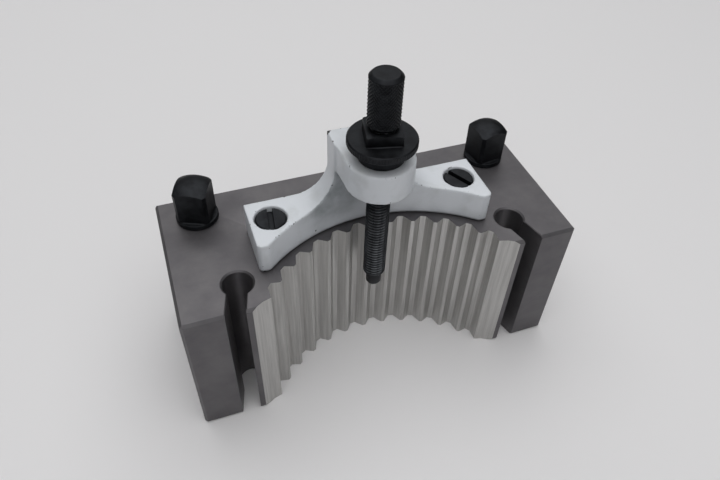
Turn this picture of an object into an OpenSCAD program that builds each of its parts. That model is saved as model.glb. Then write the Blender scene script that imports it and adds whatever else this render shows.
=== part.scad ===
// Tool holder for a toothed quick-change tool post: a steel block with a toothed
// concave seat, two keyhole clamping slots, a tool slot along its rear face, a
// cast height yoke and its screws.
// Millimetres. +Z is up and +Y runs from the toothed seat to the tool slot.
// The origin is the centre of the block's bottom face.

/* [Block] */
// Length of the block along the tool shank
body_l = 140; // [132:1:160]
// Depth from the toothed front to the tool slot's rear face
body_d = 58; // [57:1:64]
// Height of the block
body_h = 58; // [54:1:64]
// Chamfer on the block's outer edges
edge_chamfer = 1; // [0.5:0.1:2]

/* [Toothed seat] */
// Distance of the post's axis in front of the block
post_axis_gap = 26.1; // [26:0.1:27]
// Radius to the tips of the seat's teeth
tooth_tip_r = 50; // [49.5:0.1:50.2]
// Depth of the teeth
tooth_depth = 2.7; // [2:0.1:2.8]
// Width of the flat floor between two teeth
groove_floor = 2; // [1.5:0.1:2.4]
// Lean of a tooth's flanks from the radius at the middle of the seat, in degrees
tooth_flank = 40; // [34:1:41]
// Change of that lean for each degree from the middle, which lets the holder slide on
flank_change = 0.2; // [0:0.05:0.2]
// Teeth in the post's full circle
tooth_count = 40; // [40]
// Grooves cut on each side of the seat's middle
grooves_per_side = 6; // [4:1:6]

/* [Keyhole slots] */
// Distance of each keyhole from the middle of the block
key_x = 49.5; // [49:0.5:51]
// Depth of each keyhole's centre behind the front face
key_depth = 12.3; // [11:0.1:14]
// Radius of each keyhole
key_r = 5.1; // [4.5:0.1:5.5]
// Width of the slot that opens each keyhole to the front
key_slot_w = 6.5; // [5:0.5:7.5]
// Outward lean of the slots, in degrees
key_splay = 15; // [10:1:16]
// Chamfer on the keyholes' rims
key_chamfer = 0.6; // [0.3:0.1:1]

/* [Tool slot] */
// Height of the tool slot's floor above the bottom face
tool_floor = 12; // [10:1:14]
// Height of the tool slot
tool_h = 28; // [26:1:28]
// Depth of the tool slot from the rear face
tool_d = 23; // [20:1:23]

/* [Clamp screws] */
// Distance between neighbouring clamp screws
clamp_pitch = 56.3; // [54:0.1:57]
// Distance of the clamp screws from the rear face
clamp_inset = 11.1; // [10:0.1:12]
// Thread diameter of the clamp screws
clamp_d = 12; // [10:1:12]
// Diameter of the collar, and of the turned corners of the square head
clamp_collar_d = 14.8; // [14.5:0.1:15.5]
// Height of the collar
clamp_collar_h = 2; // [1.5:0.1:3]
// Width across the flats of the square head
clamp_square = 11.5; // [11:0.5:12]
// Height of the square above the collar, with its chamfered crown
clamp_square_h = 13.8; // [10:0.1:15]
// Length of the shank below the collar
clamp_shank = 35; // [32:1:37]
// Turn of the left, middle and right square heads, in degrees
clamp_turns = [-23, 31, 8];

/* [Yoke] */
// Half the yoke's width
yoke_half = 41.5; // [41:0.5:42]
// Thickness of the yoke's arms
arm_t = 12; // [11:0.5:13]
// Radius of the yoke's hollow front wall
yoke_r = 57.3; // [57:0.1:58]
// Distance of that wall's axis in front of the block
yoke_axis_gap = 29.1; // [29:0.1:29.6]
// Distance of the arms' flat front corners in front of the block's middle
arm_front = 15.1; // [14.5:0.1:16]
// Distance of the yoke's flat back behind the block's middle
yoke_back = 6; // [5.5:0.1:6.5]
// Half the width of the web behind the boss
web_half = 12; // [11.5:0.1:12.5]
// Radius of the boss
boss_r = 11.2; // [11:0.1:11.5]
// Distance of the boss's centre in front of the block's middle
boss_y = 11.2; // [11:0.1:12]
// Height of the boss's lower face above the block
boss_low = 25.2; // [24:0.1:28]
// Height of the boss's upper face above the block
boss_high = 36; // [35:0.5:38]
// Radius of the fillets between the arms and the web
web_fillet = 12.5; // [8:0.5:14]

/* [Yoke screws] */
// Distance of each yoke screw from the middle
yoke_screw_x = 34.2; // [33:0.1:35]
// Distance of the yoke screws in front of the block's middle
yoke_screw_y = 2.7; // [2:0.1:4]
// Thread diameter
yoke_screw_d = 6; // [5:1:6]
// Head diameter
yoke_head_d = 10.4; // [9:0.1:10.6]
// Head height
yoke_head_h = 3.9; // [3:0.1:4.2]
// Turn of the left and right screwdriver slots, in degrees
yoke_screw_turns = [-98, -62];

/* [Height screw and lock nut] */
// Distance of the height screw's axis in front of the block's middle
stud_y = 11.7; // [11.2:0.1:12]
// Thread diameter of the height screw
stud_d = 8; // [8]
// Height of the screw's rounded lower end above the bottom face
stud_tip_z = 36; // [34:1:40]
// Diameter of the dog point
dog_d = 5.5; // [5:0.1:6]
// Length of the dog point
dog_l = 6.6; // [4:0.1:8]
// Diameter of the knurled head
knob_d = 10.3; // [9:0.1:10.6]
// Height of the knurled head
knob_h = 16.6; // [12:0.1:20]
// Gap between the lock nut and the knurled head
knob_gap = 1.2; // [1:0.1:4]
// Diameter of the lock nut's knurled flange
flange_d = 22; // [18:0.1:24]
// Thickness of the flange
flange_t = 2.5; // [2:0.1:4]
// Diameter of the collar that seats on the boss
nut_collar_d = 15; // [12:0.1:16]
// Height of that collar
nut_collar_h = 5; // [3:0.1:6]
// Width across the flats of the lock nut's square
nut_square = 11.1; // [10.8:0.1:12]
// Height of the square
nut_square_h = 3.8; // [3:0.1:6]
// Turn of the square, in degrees
nut_turn = -13; // [-45:1:45]

/* [Fits] */
// Radial clearance of each screw in its hole
fit_gap = 0.05; // [0.02:0.01:0.09]
// Gap under a part that only rests on another
seat_gap = 0.02; // [0.01:0.01:0.05]

/* [Hidden] */
$fn = 96;
over = 1;                              // how far a cutting shape runs past a face
front = -body_d / 2;
rear = body_d / 2;
post_y = front - post_axis_gap;
tooth_root_r = tooth_tip_r + tooth_depth;
pitch_angle = 360 / tooth_count;
end_groove = (grooves_per_side - 0.5) * pitch_angle;
end_tooth_angle = end_groove + asin((groove_floor / 2
    + tooth_depth * tan(tooth_flank + flank_change * end_groove)) / tooth_tip_r);
end_tooth_x = tooth_tip_r * sin(end_tooth_angle);
end_tooth_y = post_y + tooth_tip_r * cos(end_tooth_angle);
land_w = 6.8;                          // width of the bevelled land beyond each end tooth
land_depth = 2.2;                      // depth of that land's inner end behind the front face
land_edge = 3.8;                       // part of the land's width that is bevelled
land_x = end_tooth_x + land_w;
groove_run = 1.5;                      // how far a groove's cutter reaches into the open seat
key_y = front + key_depth;
clamp_y = rear - clamp_inset;
tool_y = rear - tool_d;
tool_corner_r = 1;
arm_corner = 1;                        // chamfer on each arm's outer front corner
yoke_axis_y = front - yoke_axis_gap;
arm_top = body_h + arm_t;
boss_low_z = body_h + boss_low;
boss_high_z = body_h + boss_high;
counterbore_gap = 0.25;                // around each yoke screw's head
head_sink = 0.4;                       // depth of the heads below the arms' tops
counterbore_r = yoke_head_d / 2 + counterbore_gap;
counterbore_z = arm_top - yoke_head_h - head_sink;
yoke_screw_depth = 12;
yoke_slot_w = 1.8;
yoke_slot_d = 1.8;
nut_z = boss_high_z + seat_gap;
flange_z = nut_z + nut_collar_h;
nut_square_z = flange_z + flange_t;
knob_z = nut_square_z + nut_square_h + knob_gap;
crown = 1.1;                           // height of the knurled head's chamfer
dog_chamfer = 1;
rim_chamfer = 0.4;
clamp_tip_l = 3;                       // length of a clamp screw's plain point
clamp_tip_step = 1.5;                  // its radius is this much less than the thread's
crown_flat = 3;                        // the clamp screws' crowns are flat up to this far inside the flats
crown_edge = 0.8;                      // then they fall this much, to this far inside the flats
crown_drop = 2.2;                      // and this much at the turned corners
steel = "#6a6768";
paint = "#dfe3e6";
black = "#26282b";

// A rectangle with its four corners cut off.
module cut_corner_rect(w, d, c) {
    difference() {
        square([w, d], center = true);
        for (sx = [-1, 1], sy = [-1, 1])
            translate([sx * w / 2, sy * d / 2]) rotate(45) square(c * sqrt(2), center = true);
    }
}

// The block's outer shape, with all its edges chamfered.
module chamfered_block() {
    translate([0, 0, body_h / 2]) intersection() {
        linear_extrude(body_h, center = true) cut_corner_rect(body_l, body_d, edge_chamfer);
        rotate([90, 0, 0]) linear_extrude(body_d, center = true)
            cut_corner_rect(body_l, body_h, edge_chamfer);
        rotate([90, 0, 90]) linear_extrude(body_l, center = true)
            cut_corner_rect(body_d, body_h, edge_chamfer);
    }
}

// Plan of one groove between teeth, at an angle on the right of the seat's middle. Its
// outer flank leans more than its inner one, so the holder slides straight onto the post.
module groove_plan(angle) {
    inner = groove_floor / 2 + tooth_depth * tan(tooth_flank - flank_change * angle);
    outer = groove_floor / 2 + tooth_depth * tan(tooth_flank + flank_change * angle);
    translate([0, post_y]) rotate(-angle)
        polygon([[-inner, tooth_tip_r - groove_run], [-inner, tooth_tip_r],
                 [-groove_floor / 2, tooth_root_r], [groove_floor / 2, tooth_root_r],
                 [outer, tooth_tip_r], [outer, tooth_tip_r - groove_run]]);
}

// Plan of the toothed seat: the tip circle, the grooves between the teeth and the
// bevelled lands that lead in at both ends.
module seat_plan() {
    translate([0, post_y]) circle(tooth_tip_r, $fn = 240);
    for (side = [0, 1], k = [0 : grooves_per_side - 1]) mirror([side, 0])
        groove_plan((k + 0.5) * pitch_angle);
    for (side = [0, 1]) mirror([side, 0])
        polygon([[0, front - over], [0, end_tooth_y], [end_tooth_x, end_tooth_y],
                 [land_x - land_edge, front + land_depth], [land_x, front], [land_x, front - over]]);
}

// A keyhole: the round hole, and the slot that leans outwards to the front face.
module keyhole() {
    reach = key_depth / cos(key_splay) + key_slot_w;
    translate([key_x, key_y, 0]) {
        translate([0, 0, -over]) cylinder(r = key_r, h = body_h + 2 * over);
        for (top = [0, 1]) translate([0, 0, top * body_h]) mirror([0, 0, top])
            translate([0, 0, -key_chamfer]) {
                cylinder(r1 = key_r + 2 * key_chamfer, r2 = key_r, h = 2 * key_chamfer);
                rotate(key_splay) rotate([90, 0, 0]) linear_extrude(reach)
                    polygon([[-key_slot_w / 2 - 1.5 * key_chamfer, 0], [-key_slot_w / 2, 1.5 * key_chamfer],
                             [key_slot_w / 2, 1.5 * key_chamfer], [key_slot_w / 2 + 1.5 * key_chamfer, 0]]);
            }
        rotate(key_splay) translate([-key_slot_w / 2, -reach, -over])
            cube([key_slot_w, reach, body_h + 2 * over]);
    }
}

// The tool slot's section, with small fillets in its inner corners.
module tool_slot_section() {
    difference() {
        translate([tool_y, tool_floor]) square([tool_d + over, tool_h]);
        for (top = [0, 1]) translate([tool_y, tool_floor + top * tool_h]) mirror([0, top])
            difference() {
                square(tool_corner_r);
                translate([tool_corner_r, tool_corner_r]) circle(tool_corner_r);
            }
    }
}

module holder_body() {
    color(steel) difference() {
        chamfered_block();
        translate([0, 0, -over]) linear_extrude(body_h + 2 * over) seat_plan();
        for (side = [0, 1]) mirror([side, 0, 0]) keyhole();
        rotate([90, 0, 90]) linear_extrude(body_l + 2 * over, center = true) tool_slot_section();
        for (k = [-1 : 1]) translate([k * clamp_pitch, clamp_y, tool_floor + tool_h - over])
            cylinder(d = clamp_d + 2 * fit_gap, h = body_h);
        for (side = [-1, 1])
            translate([side * yoke_screw_x, -yoke_screw_y, body_h - yoke_screw_depth - over])
                cylinder(d = yoke_screw_d + 2 * fit_gap, h = yoke_screw_depth + 2 * over);
    }
}

// Plan of the yoke's arms: flat behind, hollow in front, with chamfered outer corners.
module arm_plan() {
    difference() {
        polygon([[-yoke_half, yoke_back], [-yoke_half, arm_corner - arm_front],
                 [arm_corner - yoke_half, -arm_front], [yoke_half - arm_corner, -arm_front],
                 [yoke_half, arm_corner - arm_front], [yoke_half, yoke_back]]);
        translate([0, yoke_axis_y]) circle(yoke_r, $fn = 240);
    }
}

// Plan of the boss with the web behind it.
module boss_plan() {
    translate([0, -boss_y]) circle(boss_r);
    polygon([[-web_half, yoke_back], [-boss_r, -boss_y], [boss_r, -boss_y], [web_half, yoke_back]]);
}

// Front view of the yoke: the arms, and the web that grows out of them in fillets.
module yoke_front() {
    translate([-yoke_half, body_h]) square([2 * yoke_half, arm_t]);
    translate([-web_half, body_h]) square([2 * web_half, boss_high]);
    for (side = [0, 1]) mirror([side, 0]) translate([web_half, arm_top]) difference() {
        square(web_fillet);
        translate([web_fillet, web_fillet]) circle(web_fillet);
    }
}

module yoke() {
    color(paint) difference() {
        union() {
            intersection() {
                translate([0, yoke_back, 0]) rotate([90, 0, 0]) linear_extrude(body_d) yoke_front();
                linear_extrude(boss_high_z + over) arm_plan();
            }
            translate([0, 0, boss_low_z]) linear_extrude(boss_high_z - boss_low_z) boss_plan();
        }
        for (side = [-1, 1]) translate([side * yoke_screw_x, -yoke_screw_y, 0]) {
            cylinder(d = yoke_screw_d + 2 * fit_gap, h = arm_top);
            translate([0, 0, counterbore_z]) cylinder(r = counterbore_r, h = yoke_head_h + arm_t);
        }
        translate([0, -stud_y, boss_low_z - over])
            cylinder(d = stud_d + 2 * fit_gap, h = boss_high_z - boss_low_z + 2 * over);
    }
}

// A slotted cheese-head screw that stands on its head's lower face at z = 0.
module yoke_screw(turn) {
    shank = counterbore_z + seat_gap - body_h + yoke_screw_depth - over;
    translate([0, 0, -shank]) {
        cylinder(d1 = yoke_screw_d - 2 * rim_chamfer, d2 = yoke_screw_d, h = rim_chamfer);
        translate([0, 0, rim_chamfer]) cylinder(d = yoke_screw_d, h = shank);
    }
    difference() {
        union() {
            cylinder(d = yoke_head_d, h = yoke_head_h - rim_chamfer);
            translate([0, 0, yoke_head_h - rim_chamfer])
                cylinder(d1 = yoke_head_d, d2 = yoke_head_d - 2 * rim_chamfer, h = rim_chamfer);
        }
        rotate(turn) translate([-yoke_head_d, -yoke_slot_w / 2, yoke_head_h - yoke_slot_d])
            cube([2 * yoke_head_d, yoke_slot_w, yoke_slot_d + over]);
    }
}

module place_yoke_screw(side, turn) {
    color(black) translate([side * yoke_screw_x, -yoke_screw_y, counterbore_z + seat_gap]) yoke_screw(turn);
}

module yoke_screw_left() { place_yoke_screw(-1, yoke_screw_turns[0]); }

module yoke_screw_right() { place_yoke_screw(1, yoke_screw_turns[1]); }

// The height screw: dog point, threaded stem and knurled head, in one turned piece.
module height_screw() {
    stem_z = stud_tip_z + dog_l;
    color(black) translate([0, -stud_y, 0]) rotate_extrude()
        polygon([[0, stud_tip_z], [dog_d / 2 - dog_chamfer, stud_tip_z],
                 [dog_d / 2, stud_tip_z + dog_chamfer], [dog_d / 2, stem_z - dog_chamfer],
                 [stud_d / 2, stem_z], [stud_d / 2, knob_z],
                 [knob_d / 2 - rim_chamfer, knob_z], [knob_d / 2, knob_z + rim_chamfer],
                 [knob_d / 2, knob_z + knob_h - crown], [knob_d / 2 - crown, knob_z + knob_h],
                 [0, knob_z + knob_h]]);
}

// The lock nut: a seating collar, a knurled flange and a square, in one piece.
module lock_nut() {
    color(black) translate([0, -stud_y, nut_z]) difference() {
        union() {
            rotate_extrude()
                polygon([[0, 0], [nut_collar_d / 2 - rim_chamfer, 0], [nut_collar_d / 2, rim_chamfer],
                         [nut_collar_d / 2, nut_collar_h], [flange_d / 2 - rim_chamfer, nut_collar_h],
                         [flange_d / 2, nut_collar_h + rim_chamfer],
                         [flange_d / 2, nut_collar_h + flange_t - rim_chamfer],
                         [flange_d / 2 - rim_chamfer, nut_collar_h + flange_t],
                         [0, nut_collar_h + flange_t]]);
            rotate(nut_turn) translate([-nut_square / 2, -nut_square / 2, nut_collar_h + flange_t / 2])
                cube([nut_square, nut_square, nut_square_h + flange_t / 2]);
        }
        translate([0, 0, -over]) cylinder(d = stud_d + 2 * fit_gap, h = flange_z + nut_square_h);
    }
}

// A square-headed clamp screw that stands on its collar's lower face at z = 0.
module clamp_screw(turn) {
    tip_r = clamp_d / 2 - clamp_tip_step;
    crown_z = clamp_collar_h / 2 + clamp_square_h;
    translate([0, 0, -clamp_shank]) rotate_extrude()
        polygon([[0, 0], [tip_r - rim_chamfer, 0], [tip_r, rim_chamfer], [tip_r, clamp_tip_l],
                 [clamp_d / 2, clamp_tip_l + clamp_tip_step], [clamp_d / 2, clamp_shank],
                 [clamp_collar_d / 2 - rim_chamfer, clamp_shank],
                 [clamp_collar_d / 2, clamp_shank + rim_chamfer],
                 [clamp_collar_d / 2, clamp_shank + clamp_collar_h - rim_chamfer],
                 [clamp_collar_d / 2 - rim_chamfer, clamp_shank + clamp_collar_h],
                 [0, clamp_shank + clamp_collar_h]]);
    translate([0, 0, clamp_collar_h / 2]) intersection() {
        rotate(turn) translate([-clamp_square / 2, -clamp_square / 2, 0])
            cube([clamp_square, clamp_square, crown_z]);
        rotate_extrude()
            polygon([[0, 0], [clamp_collar_d / 2, 0], [clamp_collar_d / 2, crown_z - crown_drop],
                     [clamp_square / 2 - crown_edge, crown_z - crown_edge],
                     [clamp_square / 2 - crown_flat, crown_z], [0, crown_z]]);
    }
}

module place_clamp_screw(k) {
    color(black) translate([k * clamp_pitch, clamp_y, body_h + seat_gap]) clamp_screw(clamp_turns[k + 1]);
}

module clamp_screw_left() { place_clamp_screw(-1); }

module clamp_screw_centre() { place_clamp_screw(0); }

module clamp_screw_right() { place_clamp_screw(1); }

holder_body();
yoke();
yoke_screw_left();
yoke_screw_right();
height_screw();
lock_nut();
clamp_screw_left();
clamp_screw_centre();
clamp_screw_right();
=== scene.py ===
"""Looks of a tool holder for a toothed quick-change tool post.

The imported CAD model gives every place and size. Each class below builds one
sub-assembly of the holder around it: the machined block, the painted yoke, its
two slotted screws, the height screw, the lock nut and the clamp screws.
"""

import logging
import math
from dataclasses import dataclass, field
from enum import Enum

import bmesh
import bpy
import numpy as np
from mathutils import Matrix, Vector


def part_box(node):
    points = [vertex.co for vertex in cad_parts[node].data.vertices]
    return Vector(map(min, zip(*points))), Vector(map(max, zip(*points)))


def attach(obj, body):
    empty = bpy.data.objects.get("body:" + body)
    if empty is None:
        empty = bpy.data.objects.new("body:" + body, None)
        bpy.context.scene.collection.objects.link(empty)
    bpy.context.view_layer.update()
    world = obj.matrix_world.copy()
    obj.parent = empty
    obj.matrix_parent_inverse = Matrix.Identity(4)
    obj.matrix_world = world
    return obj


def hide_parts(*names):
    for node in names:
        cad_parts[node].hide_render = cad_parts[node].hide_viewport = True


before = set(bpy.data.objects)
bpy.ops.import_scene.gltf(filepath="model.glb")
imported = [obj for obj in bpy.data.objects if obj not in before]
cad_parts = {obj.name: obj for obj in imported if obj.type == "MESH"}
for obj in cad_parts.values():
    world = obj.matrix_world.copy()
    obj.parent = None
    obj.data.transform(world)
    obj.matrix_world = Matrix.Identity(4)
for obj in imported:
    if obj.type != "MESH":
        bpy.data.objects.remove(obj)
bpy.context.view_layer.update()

LOG = logging.getLogger("holder")
MM = 0.001
TURN = 2 * math.pi


# --------------------------------------------------------------------------- shared helpers


def linear(hex_colour: str) -> tuple[float, float, float, float]:
    """Turns an sRGB hex colour into linear RGBA.

    Args:
        hex_colour: Six hex digits, such as "8a8784".

    Returns:
        Linear red, green and blue with an alpha of one.
    """
    srgb = np.array([int(hex_colour[k : k + 2], 16) for k in (0, 2, 4)]) / 255
    rgb = np.where(srgb <= 0.04045, srgb / 12.92, ((srgb + 0.055) / 1.055) ** 2.4)
    return (*rgb.tolist(), 1.0)


def feed(tree: bpy.types.NodeTree, node: bpy.types.Node, inputs: dict) -> None:
    """Gives a node its inputs.

    Args:
        tree: Node tree that the node is in.
        node: The node.
        inputs: Input socket name or number, with the value or the output socket it takes.
    """
    for key, value in inputs.items():
        if isinstance(value, bpy.types.NodeSocket):
            tree.links.new(value, node.inputs[key])
        else:
            node.inputs[key].default_value = value


def add_node(
    tree: bpy.types.NodeTree, kind: str, inputs: dict | None = None, **settings
) -> bpy.types.Node:
    """Adds a shader node, sets it up and links it.

    Args:
        tree: Node tree that the node joins.
        kind: The node's type name.
        inputs: Input socket name or number, with the value or the output socket it takes.
        **settings: Properties of the node itself.

    Returns:
        The new node.
    """
    node = tree.nodes.new(kind)
    for key, value in settings.items():
        setattr(node, key, value)
    feed(tree, node, inputs or {})
    return node


def new_material(name: str) -> tuple[bpy.types.Material, bpy.types.NodeTree, bpy.types.Node]:
    """Makes an empty node material.

    Args:
        name: Name of the material.

    Returns:
        The material, its node tree and its Principled shader, already linked to the output.
    """
    material = bpy.data.materials.new(name)
    material.use_nodes = True
    tree = material.node_tree
    tree.nodes.clear()
    shader = add_node(tree, "ShaderNodeBsdfPrincipled")
    add_node(tree, "ShaderNodeOutputMaterial", {"Surface": shader.outputs["BSDF"]})
    return material, tree, shader


def circle(count: int) -> np.ndarray:
    """Angles of evenly spaced points around a full turn, in radians."""
    return np.arange(count) * TURN / count


def smoothstep(low: float, high: float, values: np.ndarray) -> np.ndarray:
    """Rises smoothly from 0 at low to 1 at high: 3t^2 - 2t^3 of the clamped share t."""
    t = np.clip((values - low) / (high - low), 0, 1)
    return t * t * (3 - 2 * t)


def object_from(mesh: bpy.types.Mesh, name: str) -> bpy.types.Object:
    """Links a mesh into the scene as an object at the origin."""
    piece = bpy.data.objects.new(name, mesh)
    bpy.context.scene.collection.objects.link(piece)
    return piece


def vertex_table(mesh: bpy.types.Mesh, what: str) -> np.ndarray:
    """Reads a vector of every vertex, such as "co" or "normal", into an array shaped (vertices, 3)."""
    table = np.empty(len(mesh.vertices) * 3, dtype=np.float32)
    mesh.vertices.foreach_get(what, table)
    return table.reshape(-1, 3).astype(float)


def write_attribute(mesh: bpy.types.Mesh, name: str, values: np.ndarray) -> None:
    """Gives every vertex a value that a material reads by name."""
    mesh.attributes.new(name, "FLOAT", "POINT").data.foreach_set("value", values.astype(np.float32))


def convex_edges(mesh: bpy.types.Mesh, passes: int, low_mm: float, high_mm: float) -> np.ndarray:
    """Tells how far each vertex lies on a convex edge, from 0 to 1.

    A vertex is convex where the mean of its neighbours lies below its tangent plane, by more
    than low_mm after the means are taken a few times over.

    Args:
        mesh: Mesh to measure.
        passes: How many times the means are taken.
        low_mm: Depth at which the value starts to rise.
        high_mm: Depth at which it is 1.

    Returns:
        One value for every vertex.
    """
    count = len(mesh.vertices)
    points, normals = vertex_table(mesh, "co"), vertex_table(mesh, "normal")
    pairs = np.empty(len(mesh.edges) * 2, dtype=np.int32)
    mesh.edges.foreach_get("vertices", pairs)
    pairs = np.concatenate([pairs.reshape(-1, 2), pairs.reshape(-1, 2)[:, ::-1]])
    here, there = pairs.T
    degree = np.maximum(np.bincount(here, minlength=count), 1)[:, None]
    mean = points
    for _ in range(passes):
        sums = [np.bincount(here, column[there], count) for column in mean.T]
        mean = np.stack(sums, axis=-1) / degree
    sunk = np.einsum("ij,ij->i", points - mean, normals) / MM
    return smoothstep(low_mm, high_mm, sunk)


def lathe_shell(rings: np.ndarray) -> tuple[np.ndarray, np.ndarray]:
    """Closes a stack of rings into a shell.

    Quad (i, j) joins ring i to ring i + 1 between the points j and j + 1, and the last
    point of a ring joins its first. The first and last rings close on their centres.

    Args:
        rings: Points in metres, shaped (rings, points around, 3), from the lower pole up,
            counter-clockwise seen from above.

    Returns:
        Vertices shaped (n, 3) and faces as quads shaped (m, 4); a pole's triangle repeats
        its last corner.
    """
    count, around = rings.shape[:2]
    index = np.arange(count * around).reshape(count, around)
    following = np.roll(index, -1, axis=1)
    sides = np.stack([index[:-1], following[:-1], following[1:], index[1:]], axis=-1)
    poles = np.stack([rings[0].mean(axis=0), rings[-1].mean(axis=0)])
    low, high = count * around, count * around + 1
    bottom = np.stack([following[0], index[0], *[np.full(around, low)] * 2], axis=-1)
    top = np.stack([index[-1], following[-1], *[np.full(around, high)] * 2], axis=-1)
    vertices = np.concatenate([rings.reshape(-1, 3), poles])
    return vertices, np.concatenate([sides.reshape(-1, 4), bottom, top])


def mesh_of_shells(
    name: str, shells: list[tuple[np.ndarray, np.ndarray]], sharp: float
) -> bpy.types.Mesh:
    """Joins closed shells into one mesh, merging points that fall together.

    Args:
        name: Name of the mesh.
        shells: Vertices and quads of each shell, as lathe_shell returns them.
        sharp: Edges that bend more than this many degrees stay crisp.

    Returns:
        The finished mesh.
    """
    offsets = np.cumsum([0] + [len(vertices) for vertices, _ in shells[:-1]])
    vertices = np.concatenate([vertices for vertices, _ in shells])
    quads = np.concatenate([faces + offset for (_, faces), offset in zip(shells, offsets)])
    faces = [quad[:3] if quad[2] == quad[3] else quad for quad in quads.tolist()]
    mesh = bpy.data.meshes.new(name)
    mesh.from_pydata(vertices.tolist(), [], faces)
    work = bmesh.new()
    work.from_mesh(mesh)
    bmesh.ops.remove_doubles(work, verts=work.verts, dist=2e-6)
    bmesh.ops.dissolve_degenerate(work, edges=work.edges, dist=1e-6)
    work.to_mesh(mesh)
    work.free()
    mesh.shade_smooth()
    mesh.set_sharp_from_angle(angle=math.radians(sharp))
    return mesh


def place(points: np.ndarray, x: float, y: float, z: float, turn: float = 0.0) -> np.ndarray:
    """Turns points about Z and moves them.

    Args:
        points: Points in millimetres, in the piece's own frame.
        x: Place along X in millimetres.
        y: Place along Y in millimetres.
        z: Place along Z in millimetres.
        turn: Turn about the piece's own Z axis in degrees.

    Returns:
        Points in metres, in the frame of the holder.
    """
    c, s = math.cos(math.radians(turn)), math.sin(math.radians(turn))
    turned = points @ np.array([[c, s, 0], [-s, c, 0], [0, 0, 1]])
    return (turned + np.array([x, y, z])) * MM


def rings_of(angles: np.ndarray, radii: np.ndarray, heights: np.ndarray) -> np.ndarray:
    """Points (r cos a, r sin a, z) of a stack of rings.

    Args:
        angles: Angle of each point around, in radians.
        radii: Radii shaped (rings, points) or (rings, 1).
        heights: Heights shaped (rings, points) or (rings, 1).

    Returns:
        Points shaped (rings, points, 3).
    """
    radii, heights, around = np.broadcast_arrays(radii, heights, angles[None, :])
    return np.stack([radii * np.cos(around), radii * np.sin(around), heights], axis=-1)


def profile_stack(points: list[tuple[float, float]]) -> tuple[np.ndarray, np.ndarray]:
    """Splits a turned profile, given as (radius, height) corners, into two columns."""
    table = np.array(points, dtype=float)
    return table[:, :1], table[:, 1:]


def centre_mm(node: str) -> tuple[float, float, float, float]:
    """Middle of a CAD node in X and Y, with its lowest and highest Z, in millimetres."""
    low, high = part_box(node)
    return (low.x + high.x) / 2 / MM, (low.y + high.y) / 2 / MM, low.z / MM, high.z / MM


# --------------------------------------------------------------------------- threads and knurls


@dataclass(frozen=True)
class Thread:
    """A right-handed 60 degree screw thread."""

    major_r: float
    pitch: float
    depth_share: float = 0.61  # depth of an external thread over its pitch
    crest_share: float = 0.14  # width of the flat crest over the pitch
    flank_share: float = 0.64  # width of both flanks over the pitch

    def radii(self, angles: np.ndarray, heights: np.ndarray, low: float, high: float) -> np.ndarray:
        """Radius of the thread at each angle and height.

        The share of a pitch at (a, z) is p = frac(z / pitch - a / turn). Its distance from the
        crest, |p - 1/2| * 2, rises over a straight flank between the flat crest and the flat
        root, and the thread runs out over one pitch at both ends.

        Args:
            angles: Angles in radians, shaped (1, points).
            heights: Heights in millimetres, shaped (rings, 1).
            low: Height at which the thread starts.
            high: Height at which it ends.

        Returns:
            Radii in millimetres, shaped (rings, points).
        """
        share = np.mod(heights / self.pitch - angles / TURN, 1.0)
        from_crest = np.abs(share - 0.5) * 2
        flank = np.clip((from_crest - self.crest_share) / self.flank_share, 0, 1)
        start = smoothstep(low, low + self.pitch, heights)
        end = 1 - smoothstep(high - self.pitch, high, heights)
        return self.major_r - self.depth_share * self.pitch * flank * (start * end)


class KnurlKind(Enum):
    """Patterns that a knurling tool rolls."""

    STRAIGHT = "straight"
    DIAMOND = "diamond"


@dataclass(frozen=True)
class Knurl:
    """A rolled knurl on a round rim."""

    kind: KnurlKind
    radius: float
    grooves: int
    depth: float
    fade_mm: float = 0.5  # length over which the grooves run out

    def radii(self, angles: np.ndarray, heights: np.ndarray, low: float, high: float) -> np.ndarray:
        """Radius of the knurled rim at each angle and height.

        With u = grooves * a / turn and v = z over the grooves' spacing, a straight groove lies
        where u is whole, and diamond grooves lie where u + v or u - v is whole. The depth falls
        off as 1 - |distance to the nearest groove| * 2, and fades out at both ends.

        Args:
            angles: Angles in radians, shaped (1, points).
            heights: Heights in millimetres, shaped (rings, 1).
            low: Height at which the knurl starts.
            high: Height at which it ends.

        Returns:
            Radii in millimetres, shaped (rings, points).
        """
        around = self.grooves * angles / TURN
        along = heights / (TURN * self.radius / self.grooves)
        slopes = (0,) if self.kind is KnurlKind.STRAIGHT else (1, -1)
        lines = [around + slope * along for slope in slopes]
        cut = np.max([1 - 2 * np.abs(line - np.round(line)) for line in lines], axis=0)
        start = smoothstep(low, low + self.fade_mm, heights)
        end = 1 - smoothstep(high - self.fade_mm, high, heights)
        return self.radius - self.depth * cut * (start * end)


# --------------------------------------------------------------------------- finishes


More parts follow.
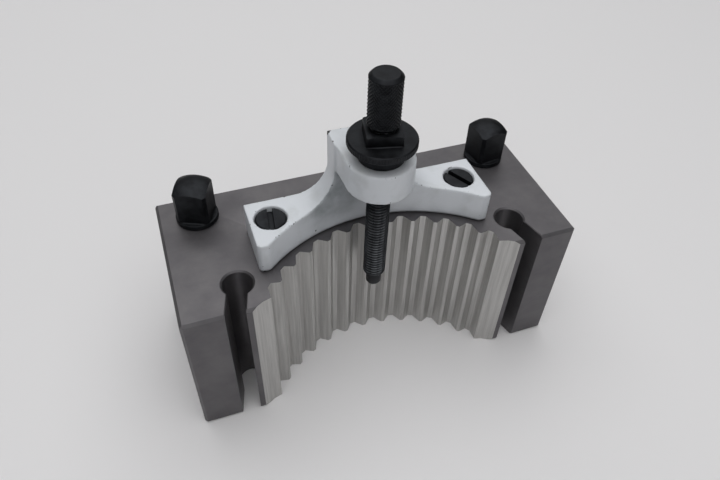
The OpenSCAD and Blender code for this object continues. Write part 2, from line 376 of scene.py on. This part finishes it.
@dataclass(frozen=True)
class PhosphatedSteel:
    """Hardened steel, ground and then phosphated: a warm dark grey with a satin, cloudy skin."""

    name: str = "phosphated_steel"
    dark: str = "605e61"
    light: str = "6e6c6e"
    metallic: float = 0.7
    roughness: float = 0.46
    cloud_mm: float = 14.0  # patches where the phosphate took unevenly
    grind_mm: float = 0.35  # real grinding marks are finer; this is as fine as shows
    grind_stretch: float = 0.04  # the marks are 25 times as long as they are wide
    grain_mm: float = 0.25  # real crystals are finer; this is as fine as shows

    def build(self) -> bpy.types.Material:
        """Builds the material.

        Returns:
            A metal with cloudy colour, fine grinding lines along X and a grainy skin.
        """
        material, tree, shader = new_material(self.name)
        spot = add_node(tree, "ShaderNodeTexCoord").outputs["Object"]
        clouds = add_node(tree, "ShaderNodeTexNoise", {
            "Vector": spot, "Scale": 1 / (self.cloud_mm * MM), "Detail": 5.0, "Roughness": 0.6})
        stretched = add_node(tree, "ShaderNodeMapping", {
            "Vector": spot, "Scale": (self.grind_stretch, 1.0, 1.0)})
        lines = add_node(tree, "ShaderNodeTexNoise", {
            "Vector": stretched.outputs["Vector"], "Scale": 1 / (self.grind_mm * MM), "Detail": 2.0})
        grain = add_node(tree, "ShaderNodeTexNoise", {
            "Vector": spot, "Scale": 1 / (self.grain_mm * MM), "Detail": 2.0})
        tint = add_node(tree, "ShaderNodeMapRange", {
            "Value": clouds.outputs["Fac"], "From Min": 0.35, "From Max": 0.65})
        colour = add_node(tree, "ShaderNodeMix", {
            "Factor": tint.outputs["Result"], 6: linear(self.dark), 7: linear(self.light)},
            data_type="RGBA")
        sheen = add_node(tree, "ShaderNodeMapRange", {
            "Value": lines.outputs["Fac"], "From Min": 0.3, "From Max": 0.7,
            "To Min": self.roughness - 0.02, "To Max": self.roughness + 0.03})
        skin = add_node(tree, "ShaderNodeMath", {
            0: lines.outputs["Fac"], 1: grain.outputs["Fac"]}, operation="ADD")
        bump = add_node(tree, "ShaderNodeBump", {
            "Height": skin.outputs["Value"], "Strength": 0.12, "Distance": 0.01 * MM})
        feed(tree, shader, {
            "Base Color": colour.outputs[2], "Roughness": sheen.outputs["Result"],
            "Normal": bump.outputs["Normal"], "Metallic": self.metallic})
        return material


@dataclass(frozen=True)
class BroachedSteel:
    """Bare steel as the broach leaves it: bright, with streaks along the tool's stroke."""

    name: str = "broached_steel"
    dark: str = "b1b0ae"
    light: str = "cac9c7"
    metallic: float = 0.9
    roughness: float = 0.48
    streak_mm: float = 0.9  # real scoring is finer; this is as fine as shows
    streak_stretch: float = 0.03  # the streaks are 33 times as long as they are wide

    def build(self) -> bpy.types.Material:
        """Builds the material.

        Returns:
            A bright metal whose tone, gloss and bump run in streaks along Z.
        """
        material, tree, shader = new_material(self.name)
        spot = add_node(tree, "ShaderNodeTexCoord").outputs["Object"]
        stretched = add_node(tree, "ShaderNodeMapping", {
            "Vector": spot, "Scale": (1.0, 1.0, self.streak_stretch)})
        streaks = add_node(tree, "ShaderNodeTexNoise", {
            "Vector": stretched.outputs["Vector"], "Scale": 1 / (self.streak_mm * MM),
            "Detail": 4.0, "Roughness": 0.7})
        tint = add_node(tree, "ShaderNodeMapRange", {
            "Value": streaks.outputs["Fac"], "From Min": 0.3, "From Max": 0.7})
        colour = add_node(tree, "ShaderNodeMix", {
            "Factor": tint.outputs["Result"], 6: linear(self.dark), 7: linear(self.light)},
            data_type="RGBA")
        gloss = add_node(tree, "ShaderNodeMapRange", {
            "Value": streaks.outputs["Fac"], "From Min": 0.3, "From Max": 0.7,
            "To Min": self.roughness + 0.08, "To Max": self.roughness - 0.06})
        bump = add_node(tree, "ShaderNodeBump", {
            "Height": streaks.outputs["Fac"], "Strength": 0.4, "Distance": 0.02 * MM})
        feed(tree, shader, {
            "Base Color": colour.outputs[2], "Roughness": gloss.outputs["Result"],
            "Normal": bump.outputs["Normal"], "Metallic": self.metallic})
        return material


@dataclass(frozen=True)
class PaintedCasting:
    """Iron casting under thick white paint: softly glossy, lumpy, chipped to dark metal on its edges, with
    painted shade under the boss and a painted shadow along its foot.
    """

    name: str = "painted_casting"
    paint: str = "d8dce1"
    stain: str = "cbcfd2"
    # grey of the smudges and of the painted shade beside and under the boss
    grime_and_shade: str = "8e9498"
    # dark metal of the chips, also the colour of the painted shadow along the foot
    iron_and_gap_shade: str = "2f2e2d"
    roughness: float = 0.36
    bare_roughness: float = 0.8
    stain_mm: float = 7.0  # fingerprint-sized stains
    peel_mm: float = 1.1  # orange peel of thick paint
    chip_mm: float = 1.6  # size of a flaked-off chip

    def build(self) -> bpy.types.Material:
        """Builds the material. It reads the mesh's attributes "edge", "grime" and "seam".

        Returns:
            A painted surface with stains, orange peel, smudges with painted shade, a painted shadow along the
            foot and chips.
        """
        material, tree, shader = new_material(self.name)
        spot = add_node(tree, "ShaderNodeTexCoord").outputs["Object"]
        edge = add_node(tree, "ShaderNodeAttribute", attribute_name="edge")
        grime_and_shade_attribute = add_node(tree, "ShaderNodeAttribute", attribute_name="grime_and_shade")
        seam = add_node(tree, "ShaderNodeAttribute", attribute_name="seam")
        stains = add_node(tree, "ShaderNodeTexNoise", {
            "Vector": spot, "Scale": 1 / (self.stain_mm * MM), "Detail": 6.0})
        peel = add_node(tree, "ShaderNodeTexNoise", {
            "Vector": spot, "Scale": 1 / (self.peel_mm * MM), "Detail": 2.0})
        flakes = add_node(tree, "ShaderNodeTexNoise", {
            "Vector": spot, "Scale": 1 / (self.chip_mm * MM), "Detail": 5.0, "Roughness": 0.7})
        likely = add_node(tree, "ShaderNodeMapRange", {
            "Value": edge.outputs["Fac"], "To Min": 0.0, "To Max": 0.16}, clamp=False)
        level = add_node(tree, "ShaderNodeMath", {
            0: flakes.outputs["Fac"], 1: likely.outputs["Result"]}, operation="ADD")
        chip = add_node(tree, "ShaderNodeMapRange", {
            "Value": level.outputs["Value"], "From Min": 0.765, "From Max": 0.785})
        soft = add_node(tree, "ShaderNodeMapRange", {
            "Value": stains.outputs["Fac"], "From Min": 0.5, "From Max": 0.75})
        stained = add_node(tree, "ShaderNodeMix", {
            "Factor": soft.outputs["Result"], 6: linear(self.paint), 7: linear(self.stain)},
            data_type="RGBA")
        patchy = add_node(tree, "ShaderNodeMapRange", {
            "Value": stains.outputs["Fac"], "From Min": 0.3, "From Max": 0.65,
            "To Min": 0.45, "To Max": 1.0})
        # Painted shade with some smudging: front faces under the boss are darkened towards grey.
        grime_and_shade_amount = add_node(tree, "ShaderNodeMath", {
            0: grime_and_shade_attribute.outputs["Fac"], 1: patchy.outputs["Result"]}, operation="MULTIPLY")
        coat = add_node(tree, "ShaderNodeMix", {
            "Factor": grime_and_shade_amount.outputs["Value"], 6: stained.outputs[2], 7: linear(self.grime_and_shade)},
            data_type="RGBA")
        # Chips show dark metal; the band along the foot is a painted shadow of the gap under the yoke.
        chips_and_gap_shade = add_node(tree, "ShaderNodeMath", {
            0: chip.outputs["Result"], 1: seam.outputs["Fac"]}, operation="MAXIMUM")
        colour = add_node(tree, "ShaderNodeMix", {
            "Factor": chips_and_gap_shade.outputs["Value"], 6: coat.outputs[2], 7: linear(self.iron_and_gap_shade)},
            data_type="RGBA")
        gloss = add_node(tree, "ShaderNodeMapRange", {
            "Value": chip.outputs["Result"], "To Min": self.roughness, "To Max": self.bare_roughness})
        height = add_node(tree, "ShaderNodeMath", {
            0: peel.outputs["Fac"], 1: chip.outputs["Result"]}, operation="SUBTRACT")
        bump = add_node(tree, "ShaderNodeBump", {
            "Height": height.outputs["Value"], "Strength": 0.5, "Distance": 0.06 * MM})
        feed(tree, shader, {
            "Base Color": colour.outputs[2], "Roughness": gloss.outputs["Result"],
            "Normal": bump.outputs["Normal"]})
        return material


@dataclass(frozen=True)
class BlackOxide:
    """Blued steel with a film of oil: nearly black, with soft grey highlights."""

    name: str = "black_oxide"
    dark: str = "1e1f22"
    light: str = "2d2f32"
    # light grey of the painted highlight on the thread's crests
    crest_highlight: str = "66696c"
    crest_roughness: float = 0.24
    metallic: float = 0.85
    roughness: float = 0.47
    patch_mm: float = 3.0  # patches of thicker oil
    grain_mm: float = 0.3  # the real skin is finer; this is as fine as shows

    def build(self) -> bpy.types.Material:
        """Builds the material. It reads the mesh's "crest" attribute, which is 1 on a thread's crests.

        Returns:
            A dark metal with patches where the oil lies thicker, and a painted highlight that lightens the
            crests.
        """
        material, tree, shader = new_material(self.name)
        spot = add_node(tree, "ShaderNodeTexCoord").outputs["Object"]
        crest = add_node(tree, "ShaderNodeAttribute", attribute_name="crest")
        patches = add_node(tree, "ShaderNodeTexNoise", {
            "Vector": spot, "Scale": 1 / (self.patch_mm * MM), "Detail": 5.0})
        grain = add_node(tree, "ShaderNodeTexNoise", {
            "Vector": spot, "Scale": 1 / (self.grain_mm * MM), "Detail": 2.0})
        tint = add_node(tree, "ShaderNodeMapRange", {
            "Value": patches.outputs["Fac"], "From Min": 0.35, "From Max": 0.65})
        film = add_node(tree, "ShaderNodeMix", {
            "Factor": tint.outputs["Result"], 6: linear(self.dark), 7: linear(self.light)},
            data_type="RGBA")
        # Painted highlight: the crests are mixed towards light grey, standing in for the thread's glints.
        crest_highlight_amount = add_node(tree, "ShaderNodeMath", {
            0: crest.outputs["Fac"], 1: patches.outputs["Fac"]}, operation="MULTIPLY")
        colour = add_node(tree, "ShaderNodeMix", {
            "Factor": crest_highlight_amount.outputs["Value"], 6: film.outputs[2], 7: linear(self.crest_highlight)},
            data_type="RGBA")
        gloss = add_node(tree, "ShaderNodeMapRange", {
            "Value": patches.outputs["Fac"], "From Min": 0.3, "From Max": 0.7,
            "To Min": self.roughness - 0.07, "To Max": self.roughness + 0.08})
        sheen = add_node(tree, "ShaderNodeMix", {
            "Factor": crest.outputs["Fac"], 2: gloss.outputs["Result"], 3: self.crest_roughness},
            data_type="FLOAT")
        bump = add_node(tree, "ShaderNodeBump", {
            "Height": grain.outputs["Fac"], "Strength": 0.3, "Distance": 0.01 * MM})
        feed(tree, shader, {
            "Base Color": colour.outputs[2], "Roughness": sheen.outputs[0],
            "Normal": bump.outputs["Normal"], "Metallic": self.metallic})
        return material


@dataclass(frozen=True)
class Table:
    """The pale, matt table that the holder stands on."""

    name: str = "pale_table"
    colour: str = "e9e8e9"
    roughness: float = 0.7

    def build(self) -> bpy.types.Material:
        """Builds a plain matt material."""
        material, tree, shader = new_material(self.name)
        feed(tree, shader, {"Base Color": linear(self.colour), "Roughness": self.roughness})
        return material


# --------------------------------------------------------------------------- machined pieces


CRISP = math.radians(25)  # edges of a machined piece that bend more than this are broken


def machined_copy(node: str, name: str, bevel_mm: float) -> bpy.types.Object:
    """Copies a CAD node, joins its loose triangles and breaks its sharp edges.

    Args:
        node: CAD node to copy.
        name: Name of the new piece.
        bevel_mm: Width of the broken edges.

    Returns:
        The new piece, with a live bevel.
    """
    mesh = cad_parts[node].data.copy()
    mesh.name = name
    mesh.materials.clear()
    work = bmesh.new()
    work.from_mesh(mesh)
    bmesh.ops.remove_doubles(work, verts=work.verts, dist=1e-6)
    bmesh.ops.dissolve_limit(work, angle_limit=math.radians(0.4), verts=work.verts, edges=work.edges)
    work.to_mesh(mesh)
    work.free()
    mesh.shade_smooth()
    mesh.set_sharp_from_angle(angle=CRISP)
    piece = object_from(mesh, name)
    bevel = piece.modifiers.new("broken_edges", "BEVEL")
    bevel.width = bevel_mm * MM
    bevel.segments = 2
    bevel.limit_method = "ANGLE"
    bevel.angle_limit = CRISP
    bevel.harden_normals = True
    return piece


@dataclass
class Block:
    """The steel block, with its bright toothed seat."""

    edge_mm: float = 0.25
    root_r: float = 53.6  # just past the teeth's roots, from the post's axis
    post_gap: float = 26.1  # from the post's axis to the block's front face
    upright: float = 0.35  # faces whose normal rises less than this stand upright
    clear_mm: float = 0.01  # the front face itself lies nearer to the post than this
    skin: PhosphatedSteel = field(default_factory=PhosphatedSteel)
    cut: BroachedSteel = field(default_factory=BroachedSteel)

    def build(self) -> bpy.types.Object:
        """Builds the block.

        Faces closer to the post's axis than the teeth's roots, and standing upright, are the
        uncoated ones that the broach has cut.

        Returns:
            The finished piece.
        """
        piece = machined_copy("holder_body", "block", self.edge_mm)
        piece.data.materials.append(self.skin.build())
        piece.data.materials.append(self.cut.build())
        polygons = piece.data.polygons
        middle, normal = np.empty((2, len(polygons) * 3))
        polygons.foreach_get("center", middle)
        polygons.foreach_get("normal", normal)
        x, y, _ = middle.reshape(-1, 3).T / MM
        rise = normal.reshape(-1, 3)[:, 2]
        front_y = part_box("holder_body")[0].y / MM
        seat = np.hypot(x, y - front_y + self.post_gap) < self.root_r
        cut = seat & (np.abs(rise) < self.upright) & (y > front_y + self.clear_mm)
        polygons.foreach_set("material_index", cut.astype(np.int32))
        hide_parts("holder_body")
        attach(piece, "block")
        return piece


# Places on the yoke are measured from the middle of its box in X, its rear in Y and its foot in Z.
# Where its paint is knocked off: X, Y, Z and reach in millimetres.
KNOCKS = (
    (-11.5, -0.5, 35.6, 1.3), (36.3, -20.4, 11.6, 0.9), (34.9, -19.2, 11.9, 0.5), (-19.3, -10.2, 2.6, 0.8),
    (-41.0, -15.0, 0.4, 0.8), (-41.2, -9.5, 0.4, 0.7), (-39.8, -20.6, 0.5, 0.8), (36.0, -20.8, 0.4, 0.8),
)
# Where smudges and painted shade darken the front faces beside and under the boss, in the same way.
GRIME_AND_SHADE = (-13.5, -8.5, 17.0, 19.0)
# The three waves of the skin's lumps, in radians per metre: each is 5.5 to 6.2 mm long.
LUMP_WAVES = ((900, 400, -300), (-500, 800, 350), (300, -450, 1000))


@dataclass
class Yoke:
    """The painted casting that carries the height screw."""

    voxel_mm: float = 0.5
    rounding_passes: int = 9
    edge_passes: int = 3
    edge_low_mm: float = 0.02
    edge_high_mm: float = 0.09
    lump_mm: float = 0.06
    # height of the painted shadow band along the foot
    seam_mm: float = 1.0
    knock_gain: float = 4.0  # how much surer a knock chips the paint than a plain edge does
    finish: PaintedCasting = field(default_factory=PaintedCasting)

    def build(self) -> bpy.types.Object:
        """Builds the casting: the CAD shape remeshed finely, with its edges rounded and its skin uneven.

        Returns:
            The finished piece.
        """
        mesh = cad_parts["yoke"].data.copy()
        mesh.name = "yoke_casting"
        mesh.materials.clear()
        work = bmesh.new()
        work.from_mesh(mesh)
        bmesh.ops.remove_doubles(work, verts=work.verts, dist=1e-6)
        work.to_mesh(mesh)
        work.free()
        piece = object_from(mesh, "yoke_casting")
        remesh = piece.modifiers.new("remesh", "REMESH")
        remesh.mode = "VOXEL"
        remesh.voxel_size = self.voxel_mm * MM
        smooth = piece.modifiers.new("round_edges", "SMOOTH")
        smooth.factor = 0.5
        smooth.iterations = self.rounding_passes
        solid = bpy.data.meshes.new_from_object(piece.evaluated_get(bpy.context.evaluated_depsgraph_get()))
        piece.modifiers.clear()
        piece.data = solid
        solid.name = "yoke_casting"
        self.weather(solid)
        solid.shade_smooth()
        solid.materials.append(self.finish.build())
        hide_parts("yoke")
        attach(piece, "block")
        return piece

    def weather(self, mesh: bpy.types.Mesh) -> None:
        """Marks where the paint is chipped, where smudges and painted shade darken it and where a
        painted shadow lines its foot, and makes its skin slightly lumpy.

        The attribute "edge" is high on convex edges and highest at the knocks. A second attribute,
        smudging with painted shade, falls off from one place on faces that look to the front, where
        the boss shades them, and a third, a painted shadow of the gap under the yoke, is 1 along the
        foot. The lumps are a mean of three sines of the place, and they only sink the skin along its
        normal.

        Args:
            mesh: The casting's mesh, changed in place.
        """
        low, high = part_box("yoke")
        origin = np.array([(low.x + high.x) / 2, high.y, low.z])
        points, normals = vertex_table(mesh, "co"), vertex_table(mesh, "normal")
        spots = np.array((*KNOCKS, GRIME_AND_SHADE)) * MM
        away = np.linalg.norm(points[:, None, :] - origin - spots[None, :, :3], axis=2)
        near = 1 - away / spots[None, :, 3]
        knocked = np.clip(near[:, :-1].max(axis=1), 0, 1)
        edge = convex_edges(mesh, self.edge_passes, self.edge_low_mm, self.edge_high_mm)
        write_attribute(mesh, "edge", edge + self.knock_gain * knocked)
        # Painted shade with some smudging: front-facing faces near the boss, which it shades, are marked.
        grime_and_shade = smoothstep(0.0, 0.7, near[:, -1]) * smoothstep(0.2, 0.7, -normals[:, 1])
        write_attribute(mesh, "grime_and_shade", grime_and_shade)
        above = (points[:, 2] - points[:, 2].min()) / MM
        # Painted shadow of the gap under the yoke: the lowest band of the foot turns dark.
        write_attribute(mesh, "seam", 1 - smoothstep(self.seam_mm * 0.5, self.seam_mm, above))
        wave = np.sin(points @ np.array(LUMP_WAVES).T).mean(axis=1)
        sunk = points - normals * ((0.5 + 0.5 * wave) * self.lump_mm * MM)[:, None]
        mesh.vertices.foreach_set("co", sunk.astype(np.float32).ravel())
        mesh.update()


@dataclass
class YokeScrews:
    """The two slotted cheese-head screws that hold the yoke."""

    edge_mm: float = 0.15
    finish: BlackOxide = field(default_factory=lambda: BlackOxide(name="black_oxide_screws", roughness=0.42))

    def build(self) -> list[bpy.types.Object]:
        """Builds both screws.

        Returns:
            The finished pieces.
        """
        material = self.finish.build()
        pieces = []
        for side in ("left", "right"):
            piece = machined_copy(f"yoke_screw_{side}", f"slotted_screw_{side}", self.edge_mm)
            piece.data.materials.append(material)
            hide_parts(f"yoke_screw_{side}")
            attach(piece, "block")
            pieces.append(piece)
        return pieces


# --------------------------------------------------------------------------- turned pieces

STEM_POINTS = 72  # points around a threaded stem
ROWS_PER_PITCH = 10  # rings to one pitch of a thread


@dataclass
class HeightScrew:
    """The height screw: dog point, M8 thread and knurled head. Sizes are in millimetres."""

    dog_r: float = 2.75
    dog_l: float = 6.6
    head_h: float = 16.6
    crown: float = 1.1
    crest_highlight: tuple[float, float] = (0.35, 0.05)  # depths below the crests where the painted highlight starts and is full
    head_points: int = 288
    grip_rings: int = 110
    thread: Thread = field(default_factory=lambda: Thread(major_r=3.98, pitch=1.25))
    knurl: Knurl = field(default_factory=lambda: Knurl(KnurlKind.DIAMOND, 5.14, 27, 0.3))

    def build(self, material: bpy.types.Material) -> bpy.types.Object:
        """Builds the screw.

        Args:
            material: Finish of the screw.

        Returns:
            The finished piece.
        """
        x, y, low, high = centre_mm("height_screw")
        head = high - self.head_h
        thread_low = low + self.dog_l
        stem_angles = circle(STEM_POINTS)
        dog_r, dog_z = profile_stack([
            (0.7, low), (1.6, low + 0.12), (self.dog_r - 0.35, low + 0.5), (self.dog_r, low + 1.1),
            (self.dog_r, thread_low - 0.8), (self.dog_r + 0.2, thread_low - 0.5)])
        rows = np.arange(thread_low + 0.2, head + 0.4, self.thread.pitch / ROWS_PER_PITCH)[:, None]
        radii = self.thread.radii(stem_angles[None, :], rows, thread_low, head + 2)
        stem = np.concatenate([rings_of(stem_angles, dog_r, dog_z), rings_of(stem_angles, radii, rows)])
        head_angles = circle(self.head_points)
        outer = self.knurl.radius
        foot_r, foot_z = profile_stack([(3.4, head), (outer - 0.5, head), (outer - 0.15, head + 0.25)])
        grip = np.linspace(head + 0.35, high - self.crown - 0.1, self.grip_rings)[:, None]
        grip_r = self.knurl.radii(head_angles[None, :], grip, head + 0.3, high - self.crown)
        deck = outer - self.crown
        top_r, top_z = profile_stack([
            (outer - 0.1, high - self.crown + 0.06), (outer - 0.2, high - self.crown + 0.18),
            (deck + 0.26, high - 0.24), (deck + 0.14, high - 0.13), (deck, high - 0.04),
            (deck - 0.14, high), (deck - 0.3, high), (0.5, high)])
        knob = np.concatenate([rings_of(head_angles, foot_r, foot_z), rings_of(head_angles, grip_r, grip),
                               rings_of(head_angles, top_r, top_z)])
        shells = [lathe_shell(place(rings, x, y, 0)) for rings in (stem, knob)]
        mesh = mesh_of_shells("height_adjusting_screw", shells, 32)
        points = vertex_table(mesh, "co") / MM
        reach = np.hypot(points[:, 0] - x, points[:, 1] - y)
        start, full = self.crest_highlight
        # The crest attribute places a painted highlight on the thread's crests.
        crest = smoothstep(self.thread.major_r - start, self.thread.major_r - full, reach)
        write_attribute(mesh, "crest", crest * (points[:, 2] < head - 0.5))
        mesh.materials.append(material)
        piece = object_from(mesh, "height_adjusting_screw")
        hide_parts("height_screw")
        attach(piece, "height_screw")
        return piece


@dataclass
class LockNut:
    """The lock nut: seating collar, knurled flange and square. Sizes are in millimetres and degrees."""

    collar_r: float = 7.5
    collar_h: float = 5.0
    flange_t: float = 2.5
    square: float = 11.1
    turned_share: float = 1.36  # the square's corners are turned down to this share of its half width
    turn: float = -13.0
    bore_r: float = 4.05
    points: int = 432
    knurl: Knurl = field(default_factory=lambda: Knurl(KnurlKind.STRAIGHT, 11.0, 76, 0.16))

    def build(self, material: bpy.types.Material) -> bpy.types.Object:
        """Builds the nut as one stack of rings, up its outside and down its bore.

        Args:
            material: Finish of the nut.

        Returns:
            The finished piece.
        """
        x, y, low, high = centre_mm("lock_nut")
        angles = circle(self.points)
        flange = low + self.collar_h
        top = flange + self.flange_t
        rim = self.knurl.radius
        base_r, base_z = profile_stack([
            (self.bore_r, low + 0.5), (self.bore_r + 0.5, low), (self.collar_r - 0.35, low),
            (self.collar_r, low + 0.35), (self.collar_r, flange - 0.3), (self.collar_r + 0.3, flange),
            (rim - 0.45, flange), (rim - 0.12, flange + 0.3)])
        grip = np.linspace(flange + 0.4, top - 0.4, 13)[:, None]
        grip_r = self.knurl.radii(angles[None, :], grip, flange + 0.1, top - 0.1)
        deck_r, deck_z = profile_stack([(rim - 0.12, top - 0.3), (rim - 0.45, top)])
        half = self.square / 2
        outline = half / np.maximum(np.abs(np.cos(angles)), np.abs(np.sin(angles)))
        outline = np.minimum(outline, half * self.turned_share)[None, :]
        corner, inner = outline.max(), half - 0.3
        crown_r = np.minimum(outline, np.array([[corner], [corner - 0.6], [corner - 1.4], [inner]]))
        crown_z = high - 0.5 * np.clip((crown_r - inner) / (corner - inner), 0, 1) ** 2
        wall = np.concatenate([rings_of(angles, outline + 0.25, np.full((1, 1), top)),
                               rings_of(angles, outline, np.full((1, 1), top + 0.25)),
                               rings_of(angles, crown_r, crown_z)])
        bore_r, bore_z = profile_stack([(self.bore_r + 0.5, high), (self.bore_r, high - 0.5)])
        rings = np.concatenate([rings_of(angles, base_r, base_z), rings_of(angles, grip_r, grip),
                                rings_of(angles, deck_r, deck_z), wall, rings_of(angles, bore_r, bore_z)])
        placed = place(rings, x, y, 0, self.turn)
        vertices, faces = lathe_shell(placed)
        index = np.arange(placed.shape[0] * placed.shape[1]).reshape(placed.shape[:2])
        bore = np.stack([index[-1], np.roll(index[-1], -1), np.roll(index[0], -1), index[0]], axis=-1)
        walls = faces[faces[:, 2] != faces[:, 3]]
        mesh = mesh_of_shells("knurled_lock_nut", [(vertices[:-2], np.concatenate([walls, bore]))], 30)
        mesh.materials.append(material)
        piece = object_from(mesh, "knurled_lock_nut")
        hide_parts("lock_nut")
        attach(piece, "lock_nut")
        return piece


@dataclass
class ClampScrews:
    """The three square-headed screws that press on the tool's shank. Sizes are in millimetres and degrees."""

    collar_r: float = 7.4
    collar_h: float = 2.0
    square: float = 11.5
    square_h: float = 13.8
    crown_drop: float = 2.2
    shank: float = 35.0
    tip_r: float = 4.5
    thread: Thread = field(default_factory=lambda: Thread(major_r=5.98, pitch=1.75))
    play: float = 0.05  # the square stays this much inside the CAD one
    turns: dict[str, float] = field(
        default_factory=lambda: {"left": -23.0, "centre": 31.0, "right": 8.0})

    def head_angles(self) -> np.ndarray:
        """Angles around the head, with points exactly where each flat meets a turned corner."""
        half = math.acos(self.square / 2 / self.collar_r)
        flat = np.linspace(-half, half, 25)[:-1]
        corner = np.linspace(half, math.pi / 2 - half, 9)[:-1]
        quarter = np.concatenate([flat, corner])
        return np.concatenate([quarter + k * math.pi / 2 for k in range(4)])

    def crown_height(self, radii: np.ndarray) -> np.ndarray:
        """Height of the chamfered crown above the collar at each radius.

        The crown is a shallow dome: it falls by crown_drop * (r / collar_r) ** 2.4, so that it
        meets each flat in an arc.

        Args:
            radii: Radii in millimetres.

        Returns:
            Heights in millimetres.
        """
        return self.square_h - self.crown_drop * (radii / self.collar_r) ** 2.4

    def screw(self, name: str, x: float, y: float, low: float, turn: float) -> bpy.types.Mesh:
        """Builds one screw as two closed shells: the threaded shank and the head.

        Args:
            name: Name of the mesh.
            x: Place along X in millimetres.
            y: Place along Y in millimetres.
            low: Height of its lower end in millimetres.
            turn: Turn of its square in degrees.

        Returns:
            The screw's mesh.
        """
        seat = low + self.shank
        around = circle(STEM_POINTS)
        tip_r, tip_z = profile_stack([
            (1.0, low), (self.tip_r - 0.5, low), (self.tip_r, low + 0.5), (self.tip_r, low + 2.8)])
        rows = np.arange(low + 4.3, seat + 0.5, self.thread.pitch / ROWS_PER_PITCH)[:, None]
        radii = self.thread.radii(around[None, :], rows, low + 3.0, seat - 0.6)
        shank = np.concatenate([rings_of(around, tip_r, tip_z), rings_of(around, radii, rows)])
        collar_top = seat + self.collar_h
        angles = self.head_angles()
        from_flat = np.mod(angles + math.pi / 4, math.pi / 2) - math.pi / 4
        outline = np.minimum(self.square / 2 / np.cos(from_flat), self.collar_r)[None, :]
        foot_r, foot_z = profile_stack([
            (5.5, seat), (self.collar_r - 0.4, seat), (self.collar_r, seat + 0.4),
            (self.collar_r, collar_top - 0.35), (self.collar_r - 0.12, collar_top - 0.1),
            (self.collar_r - 0.35, collar_top)])
        fillet = np.minimum(outline + 0.3, self.collar_r - 0.35)
        inner = np.linspace(self.collar_r - 0.1, self.square / 2 - 3, 18)
        limits = np.concatenate([[self.collar_r], inner, [1.0]])
        crown_r = np.minimum(outline, limits[:, None])
        crown_z = collar_top + self.crown_height(crown_r)
        wall_z = np.array([[collar_top + 0.3], [collar_top + self.square_h / 2]])
        square = np.concatenate([
            rings_of(angles, fillet, np.full((1, 1), collar_top)),
            rings_of(angles, outline - self.play, wall_z),
            rings_of(angles, np.maximum(crown_r - self.play, 0.5), crown_z)])
        head = np.concatenate([rings_of(angles, foot_r, foot_z), square])
        shells = [lathe_shell(place(rings, x, y, 0, turn)) for rings in (shank, head)]
        return mesh_of_shells(name, shells, 28)

    def build(self, material: bpy.types.Material) -> list[bpy.types.Object]:
        """Builds the screws.

        Args:
            material: Finish of the screws.

        Returns:
            The finished pieces.
        """
        pieces = []
        for side, turn in self.turns.items():
            x, y, low, _ = centre_mm(f"clamp_screw_{side}")
            name = f"square_head_screw_{side}"
            mesh = self.screw(name, x, y, low, turn)
            mesh.materials.append(material)
            piece = object_from(mesh, name)
            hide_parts(f"clamp_screw_{side}")
            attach(piece, f"clamp_screw_{side}")
            pieces.append(piece)
        return pieces


# --------------------------------------------------------------------------- stage


@dataclass
class Stage:
    """The table, the soft light and the camera. Places are in metres and angles in degrees."""

    camera_place: tuple[float, float, float] = (-0.06142, -0.15465, 0.21658)
    azimuth: float = -21.234
    elevation: float = 45.751
    roll: float = 2.352
    lens: float = 32.06
    sensor: float = 36.0
    aim: tuple[float, float, float] = (0.0, 0.0, 0.03)  # where the lights point
    table_half: float = 3.0
    surroundings: str = "eef1f4"
    surroundings_strength: float = 0.03
    table: Table = field(default_factory=Table)

    def camera(self) -> None:
        """Adds the camera.

        Azimuth 0 looks along +Y and a positive elevation looks down. The roll turns the
        camera's right side up.
        """
        a, e = math.radians(self.azimuth), math.radians(self.elevation)
        ahead = Vector((-math.sin(a) * math.cos(e), math.cos(a) * math.cos(e), -math.sin(e)))
        right = ahead.cross(Vector((0, 0, 1))).normalized()
        up = right.cross(ahead)
        turn = Matrix.Rotation(-math.radians(self.roll), 3, ahead)
        right, up = turn @ right, turn @ up
        basis = Matrix((right, up, -ahead)).transposed().to_4x4()
        data = bpy.data.cameras.new("camera")
        data.lens = self.lens
        data.sensor_width = self.sensor
        data.clip_start = 0.01
        camera = bpy.data.objects.new("camera", data)
        camera.matrix_world = Matrix.Translation(self.camera_place) @ basis
        bpy.context.scene.collection.objects.link(camera)
        bpy.context.scene.camera = camera

    def light(self, name: str, at: tuple[float, float, float], size: float, watts: float) -> None:
        """Adds a square soft light that faces the holder.

        Args:
            name: Name of the light.
            at: Its place in metres.
            size: Its side in metres.
            watts: Its power.
        """
        data = bpy.data.lights.new(name, "AREA")
        data.size = size
        data.energy = watts
        lamp = bpy.data.objects.new(name, data)
        lamp.location = at
        lamp.rotation_euler = (Vector(at) - Vector(self.aim)).to_track_quat("Z", "Y").to_euler()
        bpy.context.scene.collection.objects.link(lamp)

    def build(self) -> None:
        """Adds the table, the lights, the pale surroundings and the camera."""
        mesh = bpy.data.meshes.new("table")
        half = self.table_half
        corners = [(-half, -half, 0), (half, -half, 0), (half, half, 0), (-half, half, 0)]
        mesh.from_pydata(corners, [], [(0, 1, 2, 3)])
        mesh.materials.append(self.table.build())
        object_from(mesh, "table")
        self.light("ceiling", (0.0, 0.0, 1.4), 2.4, 20.0)
        self.light("window", (-0.1, -0.8, 1.2), 1.6, 4.5)
        self.light("far_wall", (0.1, 0.9, 1.1), 1.6, 4.5)
        world = bpy.data.worlds.new("surroundings")
        world.use_nodes = True
        feed(world.node_tree, world.node_tree.nodes["Background"], {
            "Color": linear(self.surroundings), "Strength": self.surroundings_strength})
        bpy.context.scene.world = world
        bpy.context.scene.view_settings.view_transform = "Standard"
        self.camera()


def main() -> None:
    """Builds the holder piece by piece."""
    logging.basicConfig(level=logging.INFO, format="%(name)s: %(message)s")
    Stage().build()
    oxide = BlackOxide().build()
    pieces = [Block().build(), Yoke().build(), *YokeScrews().build()]
    pieces += [HeightScrew().build(oxide), LockNut().build(oxide), *ClampScrews().build(oxide)]


if __name__ == "__main__":
    main()
